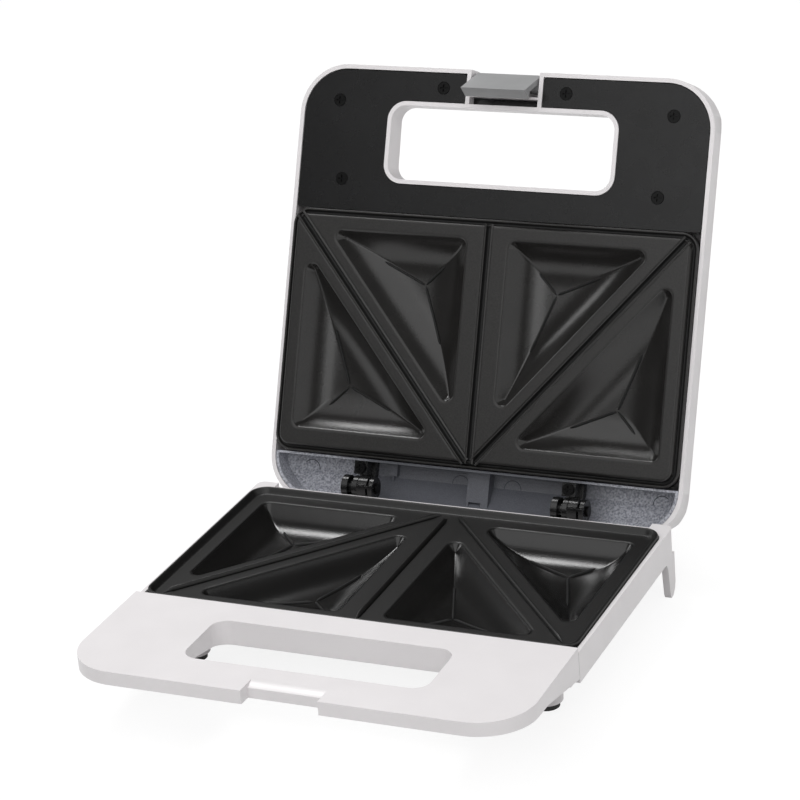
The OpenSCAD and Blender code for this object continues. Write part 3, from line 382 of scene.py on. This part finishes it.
def plate_mesh(face):
    """Points and faces of a plate: a fine cooking side, a coarse underside and the edge between."""
    xs = graded(PLATE_W, 2 * CELLS[0]) - PLATE_W / 2
    ys = graded(PLATE_D, CELLS[1]) + PLATE_Y
    x, y = round_corners(*np.meshgrid(xs, ys, indexing="ij"))
    top = plate_height(x, y, face)
    under = (top - CAST)[::3, ::3]
    under[0], under[-1], under[:, 0], under[:, -1] = (-5.2,) * 4
    points = np.concatenate([
        np.stack([x, y, top], -1).reshape(-1, 3),
        np.stack([x[::3, ::3], y[::3, ::3], under], -1).reshape(-1, 3)])
    return points, grid_faces(top.shape) + stitched(top.shape)


def zone(x, y, face):
    """What the coating is like: 0 on the land, 1 in the pockets, 2 where shade is painted near black."""
    inside = sum(np.clip(pocket_inset(np.abs(x), y, triangle(front)) / 1.2 + 0.3, 0, 1)
                 for front in (True, False))
    # Along the sunk border of the upper plate, zone 2 paints shade near black.
    border = np.interp(outline_inset(x, y), [1.1, 1.7, 2.9, 3.4], [0, 2, 2, 0]) if face > 0 else 0
    return inside + border


def ridge(path, width, height, ends, face_of, sunk=0.35):
    """Points and faces of a low ridge with a round back that follows the plate along a path.

    It falls off over ends at both ends, and its foot lies sunk under the plate.
    """
    path = np.asarray(path, float)
    steps = np.linspace(0, 1, 25)
    centre = path[0] + (path[1] - path[0]) * steps[:, None]
    length = np.linalg.norm(path[1] - path[0])
    side = np.array([path[0][1] - path[1][1], path[1][0] - path[0][0]]) / length
    taper = np.clip(np.minimum(steps, 1 - steps) * length / ends, 0, 1) ** 0.5
    turn = np.linspace(0, math.pi, 9)
    reach = width / 2 * taper[:, None] * np.cos(turn)
    x = centre[:, :1] + side[0] * reach
    y = centre[:, 1:] + side[1] * reach
    z = face_of(centre[:, 0], centre[:, 1])[:, None] + height * taper[:, None] * np.sin(turn) - sunk
    faces = grid_faces(x.shape)
    ring = np.arange(x.size).reshape(x.shape)
    bottom = np.stack([ring[:-1, 0], ring[:-1, -1], ring[1:, -1], ring[1:, 0]], -1).tolist()
    return np.stack([x, y, z], -1).reshape(-1, 3), faces + bottom


def lining(start, end, face):
    """Points, faces and zones of the channel that lines a groove between two points."""
    start, end = np.array(start, float), np.array(end, float)
    steps = np.linspace(0, 1, 41)
    centre = start + (end - start) * steps[:, None]
    along = (end - start) / np.linalg.norm(end - start)
    across = np.array([-2.5, -1.75, -1.5, -1.32, -1.2, -0.95, 0, 0.95, 1.2, 1.32, 1.5, 1.75, 2.5])
    drop = np.array([-0.3, 0.04, 0.03, -0.12, -0.5, -2.4, -2.55, -2.4, -0.5, -0.12, 0.03, 0.04, -0.3])
    # Zone 2 across the channel paints shade near black into the groove.
    dark = np.array([0, 0, 0, 0.3, 2, 2, 2, 2, 2, 0.3, 0, 0, 0], float)
    x = centre[:, :1] - along[1] * across
    y = centre[:, 1:] + along[0] * across
    points = np.stack([x, y, face + np.broadcast_to(drop, x.shape)], -1).reshape(-1, 3)
    return points, grid_faces(x.shape, flip=True), np.broadcast_to(dark, x.shape).ravel()


def boss(x, y, face):
    """Points and faces of a screw boss under the plate, a plain drum with a chamfered end."""
    turn = np.linspace(0, 2 * math.pi, 33)[:-1]
    levels = np.array([(4.6, face - 4), (4.1, face - 19.2), (3.7, face - 19.9),
                       (1.75, face - 19.9), (1.75, face - 12)])
    ring = np.stack([x + levels[:, :1] * np.cos(turn), y + levels[:, :1] * np.sin(turn),
                     np.broadcast_to(levels[:, 1:], (5, 32))], -1)
    i, k = np.meshgrid(np.arange(4), np.arange(32), indexing="ij")
    far = (k + 1) % 32
    faces = np.stack([i * 32 + far, i * 32 + k, i * 32 + 32 + k, i * 32 + 32 + far], -1)
    return ring.reshape(-1, 3), faces.reshape(-1, 4).tolist()


def joined(parts):
    """Several (points, faces, zones) as one; a plain number of zones counts for every point."""
    points, faces, zones = [], [], []
    for some, more, dark in parts:
        start = sum(len(p) for p in points)
        points.append(some)
        faces += [[start + int(i) for i in face] for face in more]
        zones.append(np.broadcast_to(dark, len(some)))
    return np.concatenate(points), faces, np.concatenate(zones)


def into_base(points):
    """Millimetres of the closed moulding to metres of the frame."""
    return np.asarray(points) * MM + (0, FRONT, 0)


def into_lid(points):
    """Millimetres of the shut lid to metres of the frame, with the lid open."""
    y, z = (into_base(points) - AXIS).T[1:]
    c, s = math.cos(-OPEN_ANGLE), math.sin(-OPEN_ANGLE)
    turned = np.stack([np.asarray(points)[:, 0] * MM, y * c - z * s, y * s + z * c], -1)
    return turned + (0, AXIS.y, AXIS.z)


def piece(name, body, points, faces, look, zones=None):
    """A mesh from points in metres, riding on a body."""
    mesh = bpy.data.meshes.new(name)
    mesh.from_pydata(points, [], faces)
    mesh.polygons.foreach_set("use_smooth", [True] * len(mesh.polygons))
    if zones is not None:
        mesh.attributes.new("zone", "FLOAT", "POINT").data.foreach_set("value", zones)
    made = bpy.data.objects.new(name, mesh)
    bpy.context.collection.objects.link(made)
    mesh.materials.append(look)
    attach(made, body)
    return made


def cooking_side(face):
    """A plate without its ribs or grooves: casting, Y ridges and screw bosses."""
    points, faces = plate_mesh(face)
    parts = [(points, faces, zone(points[:, 0], points[:, 1], face))]
    for middle, *ends in (FRONT_Y, REAR_Y):
        for end in ends:
            for side in (1, -1):
                line = [(side * middle[0], middle[1]), (side * end[0], end[1])]
                # The Y ridges take zone 2, which paints shade near black on them.
                parts.append((*ridge(line, *RIDGE, lambda x, y: plate_height(x, y, face)), 2))
    screws = [(0, 44), (0, 104), (54.9, 65.85), (-54.9, 65.85)]
    return parts + [(*boss(x, y, face), 0) for x, y in screws]


def coated(name, shade):
    """Dark non-stick coating: speckled and rough on the lands, smoother in the pockets, and near black where zone
    2 paints shade.
    """
    made, tree, shader = grained(name, 1100, 0.00005)
    attribute = tree.nodes.new("ShaderNodeAttribute")
    attribute.attribute_name = "zone"
    half = tree.nodes.new("ShaderNodeMapRange")
    half.inputs["From Max"].default_value = 2
    tree.links.new(attribute.outputs["Fac"], half.inputs["Value"])
    zones = half.outputs["Result"]
    land = ramp(tree, noise(tree, 1400, 2), [(0.35, [shade * c for c in (0.4, 0.37, 0.35)]),
                                             (0.7, [shade * c for c in (1, 0.93, 0.87)])])
    pocket = ramp(tree, noise(tree, 60, 3), [(0.3, [shade * c for c in (0.7, 0.66, 0.63)]),
                                             (0.7, [shade * c for c in (0.95, 0.9, 0.86)])])
    # Zone 2 is painted shade: near black in the grooves, on the Y ridges and along the sunk border.
    painted_shade = ramp(tree, zones, [(0.0, (0.002, 0.002, 0.002)), (1.0, (0.0025, 0.0025, 0.0025))])
    colour = blend(tree, zones, 0.5, 1.0, blend(tree, zones, 0.0, 0.5, land, pocket), painted_shade)
    tree.links.new(colour, shader.inputs["Base Color"])
    tree.links.new(ramp(tree, zones, [(0.0, (0.42,) * 3), (0.5, (0.2,) * 3), (1.0, (0.6,) * 3)]),
                   shader.inputs["Roughness"])
    return made


# The lower plate has the upper plate's coating at a third of its colour: painted shade.
shaded_lower_coating = coated("lower_coating_painted_shade", 0.006)
ribs = [(*ridge(path, *RIB, lambda x, y: np.full(np.shape(x), LOWER_FACE)), 0) for path in (
    [(0, 4.5), (0, 122)], [(3.6, 125.7), (105.5, 6.9)], [(-3.6, 125.7), (-105.5, 6.9)])]
points, faces, zones = joined(cooking_side(LOWER_FACE) + ribs)
points = into_base(points + (0, 0, RIM / MM))
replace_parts(piece("lower_plate_cast", "base", points, faces, shaded_lower_coating, zones), "lower_plate")
dress(steel, "plate_screws")


# ---- hinges ----
# Two black hinges: a leaf screwed to the rear wall of the base, an arm screwed into the lid,
# and a pin through their knuckles.

hinge_black = material("hinge_black", (0.005, 0.005, 0.005), (0.009, 0.009, 0.009), (0.2, 0.3),
                       1500, 0.00004, mottle=200)
screw_black = material("screw_black", (0.002, 0.002, 0.002), (0.004, 0.004, 0.004), (0.3, 0.4),
                       1500, 0.00002, mottle=300, Specular_IOR_Level=0.15)
for name in ("base_hinge_left", "base_hinge_right", "lid_hinge_left", "lid_hinge_right"):
    moulded(name, hinge_black, 0.35)
dress(screw_black, "base_hinge_screws", "hinge_pin_left", "hinge_pin_right", "lid_hinge_screws")


# ---- lid shell ----
# The white top of the lid with its handle and finger opening, one moulding.

moulded("lid_shell", white, 0.8)


# ---- heater of the lid ----
# The same bent tube, clips and reflector as in the base, above the upper plate.

dress(steel, "upper_heater", "plate_tab_screws")
dress(bright, "upper_reflector", "upper_heater_clips")


# ---- upper plate ----
# The second casting stands proud of its edge. Its grooves take the ribs of the lower one.

grooves = [lining(*path, UPPER_FACE) for path in (
    [(0, 3.4), (0, 128)], [(2.3, 127.2), (107.5, 4.5)], [(-2.3, 127.2), (-107.5, 4.5)])]
points, faces, zones = joined(cooking_side(UPPER_FACE) + grooves)
points = into_lid(points * (1, 1, -1) + (0, 0, PART / MM))
faces = [face[::-1] for face in faces]
coating = coated("upper_coating", 0.018)
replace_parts(piece("upper_plate_cast", "lid", points, faces, coating, zones), "upper_plate")


# ---- liner ----
# A blue-grey tray that closes the lid behind the plate. Its surface has a sparkling grain from
# spark erosion, and four round marks show where it was pushed out of its mould. Its paler
# sides are painted light and its darker middle is painted shade.

def slate_with_painted_light(dark, light, lit_dark, lit_light):
    """Grained slate plastic, paler towards the sides of the tray as painted light and darker in the middle as
    painted shade.
    """
    made = material("slate_plastic", dark, light, (0.3, 0.5), 1300, 0.00012, mottle=2400)
    tree = made.node_tree
    place = tree.nodes.new("ShaderNodeTexCoord")
    parts = tree.nodes.new("ShaderNodeSeparateXYZ")
    tree.links.new(place.outputs["Object"], parts.inputs[0])
    aside = tree.nodes.new("ShaderNodeMath")
    aside.operation = "ABSOLUTE"
    tree.links.new(parts.outputs["X"], aside.inputs[0])
    base = tree.nodes["Principled BSDF"].inputs["Base Color"]
    painted_light = ramp(tree, noise(tree, 900), [(0.35, lit_dark), (0.65, lit_light)])
    middle = base.links[0].from_socket
    # The colour turns from the middle one to the paler one between 5 and 8 cm from the middle: painted light on
    # the sides, painted shade in the middle.
    colour = blend(tree, aside.outputs[0], 0.05, 0.08, middle, painted_light, "SMOOTHSTEP")
    tree.links.new(colour, base)
    return made


slate = slate_with_painted_light((0.09, 0.094, 0.108), (0.14, 0.145, 0.168), (0.20, 0.207, 0.24), (0.52, 0.53, 0.58))
moulded("lid_liner", slate, 0.35)


def ring_mark(x, y, z, radius):
    """Points and faces of a fine raised ring on the floor of the shut lid's liner."""
    turn = np.linspace(0, 2 * math.pi, 49)
    wide, high = np.array([-0.28, -0.1, 0.1, 0.28]), np.array([0.1, -0.12, -0.12, 0.1])
    r = radius + wide[None, :]
    points = np.stack([x + r * np.cos(turn)[:, None], y + r * np.sin(turn)[:, None],
                       z + np.broadcast_to(high, (49, 4))], -1)
    return points.reshape(-1, 3), grid_faces((49, 4)), 0


LINER_DEPTH = 20                         # floor of the liner, above the parting of the lid
MARKS = [(-98.7, 139.8), (-12.2, 140.2), (17.1, 140.1), (99.1, 139.9)]
points, faces, _ = joined([ring_mark(x, y, PART / MM + LINER_DEPTH, 4.7) for x, y in MARKS])
marks = material("ring_marks", (0.03, 0.033, 0.04), (0.045, 0.05, 0.06), (0.4, 0.5), 1300, 0.00005)
piece("liner_marks", "lid", into_lid(points), faces, marks)


# ---- cover of the lid's handle ----
# A flat black plate let into the handle from inside, with six black screws.

moulded("lid_handle_cover", black, 0.4, corners=1.5)
dress(screw_black, "cover_screws")


# ---- pilot lamps ----
# A red and a green lens on top of the lid, each over a small lamp.

red = material("red_lens", (0.5, 0.02, 0.015), (0.6, 0.03, 0.02), (0.1, 0.2), 900, 0.00002)
green = material("green_lens", (0.02, 0.35, 0.06), (0.03, 0.45, 0.08), (0.1, 0.2), 900, 0.00002)
glass = material("lamp_glass", (0.9, 0.75, 0.6), (0.95, 0.8, 0.65), (0.05, 0.15), 900, 0.00001)
dress(red, "power_lens")
dress(green, "ready_lens")
dress(glass, "pilot_lamps")


# ---- latch ----
# A grey clip that turns on a steel pin in the lid's recess, pressed inwards by a spring.

grey = material("grey_plastic", (0.29, 0.292, 0.295), (0.32, 0.322, 0.325), (0.38, 0.5), 2400,
                0.00003)
moulded("latch", grey, 0.5)
dress(steel, "latch_pin", "latch_spring")


# ---- camera, light and floor ----
# A long lens from the front right, five soft lights, and a white paper floor that fades into
# a white room.

camera = bpy.data.objects.new("Camera", bpy.data.cameras.new("Camera"))
bpy.context.collection.objects.link(camera)
camera.location = (0.5353550, -1.1573927, 0.6432907)
camera.rotation_euler = Euler([math.radians(a) for a in (67.499542, 4.329936, 23.202254)], "XYZ")
camera.data.lens = 127.075216
camera.data.sensor_width = 36
bpy.context.scene.camera = camera


def softbox(name, place, size, power):
    """A square area light at a place, turned towards the toaster."""
    lamp = bpy.data.objects.new(name, bpy.data.lights.new(name, "AREA"))
    bpy.context.collection.objects.link(lamp)
    lamp.location = place
    lamp.rotation_euler = (Vector((0, 0, 0.08)) - Vector(place)).to_track_quat("-Z", "Y").to_euler()
    lamp.data.size = size
    lamp.data.energy = power


softbox("Key", (0.0, -1.3, 1.9), 2.4, 26)
softbox("Right", (1.7, -0.4, 0.9), 2.0, 10)
softbox("Left", (-1.5, 0.1, 0.85), 0.6, 4)
softbox("Front", (0.05, -1.65, 0.8), 0.8, 3)
softbox("Over", (-0.55, 0.57, 1.28), 0.4, 7)


def linked(tree, kind, **sockets):
    """A shader node with its sockets linked to outputs or set to plain values."""
    node = tree.nodes.new(kind)
    for name, value in sockets.items():
        socket = node.inputs[int(name[1:])] if name[0] == "_" else node.inputs[name]
        if isinstance(value, bpy.types.NodeSocket):
            tree.links.new(value, socket)
        else:
            socket.default_value = value
    return node.outputs[0]


floor = bpy.data.objects.new("Floor", bpy.data.meshes.new("Floor"))
bpy.context.collection.objects.link(floor)
REACH = 6.0                              # metres from the toaster to the floor's edges
floor.data.from_pydata([(x * REACH, y * REACH, 0) for x, y in ((-1, -1), (1, -1), (1, 1), (-1, 1))],
                       [], [(0, 1, 2, 3)])
paper = bpy.data.materials.new("white_paper")
paper.use_nodes = True
tree = paper.node_tree
colour = ramp(tree, noise(tree, 3), [(0.3, (0.49, 0.49, 0.49)), (0.7, (0.5, 0.5, 0.5))])
faint = ramp(tree, noise(tree, 3), [(0.3, (0.185, 0.185, 0.185)), (0.7, (0.19, 0.19, 0.19))])
matt = linked(tree, "ShaderNodeBsdfDiffuse", Color=colour)
soft = linked(tree, "ShaderNodeBsdfDiffuse", Color=faint)
glow = linked(tree, "ShaderNodeEmission", Strength=0.86)
lit = linked(tree, "ShaderNodeAddShader", _0=soft, _1=glow)
rays = tree.nodes.new("ShaderNodeLightPath").outputs
seen = linked(tree, "ShaderNodeMixShader", _0=rays["Is Camera Ray"], _1=matt, _2=lit)
mirrored = linked(tree, "ShaderNodeMixShader", _0=rays["Is Glossy Ray"], _1=seen, _2=lit)
tree.links.new(mirrored, tree.nodes["Material Output"].inputs["Surface"])
floor.data.materials.append(paper)

world = bpy.data.worlds.new("World")
bpy.context.scene.world = world
world.use_nodes = True
tree = world.node_tree
room = linked(tree, "ShaderNodeBackground", Color=(1, 1, 1, 1), Strength=0.34)
dim = linked(tree, "ShaderNodeBackground", Color=(1, 1, 1, 1), Strength=0.12)
rays = tree.nodes.new("ShaderNodeLightPath").outputs
tree.links.new(linked(tree, "ShaderNodeMixShader", _0=rays["Is Glossy Ray"], _1=room, _2=dim),
               tree.nodes["World Output"].inputs["Surface"])
bpy.context.scene.view_settings.view_transform = "Standard"
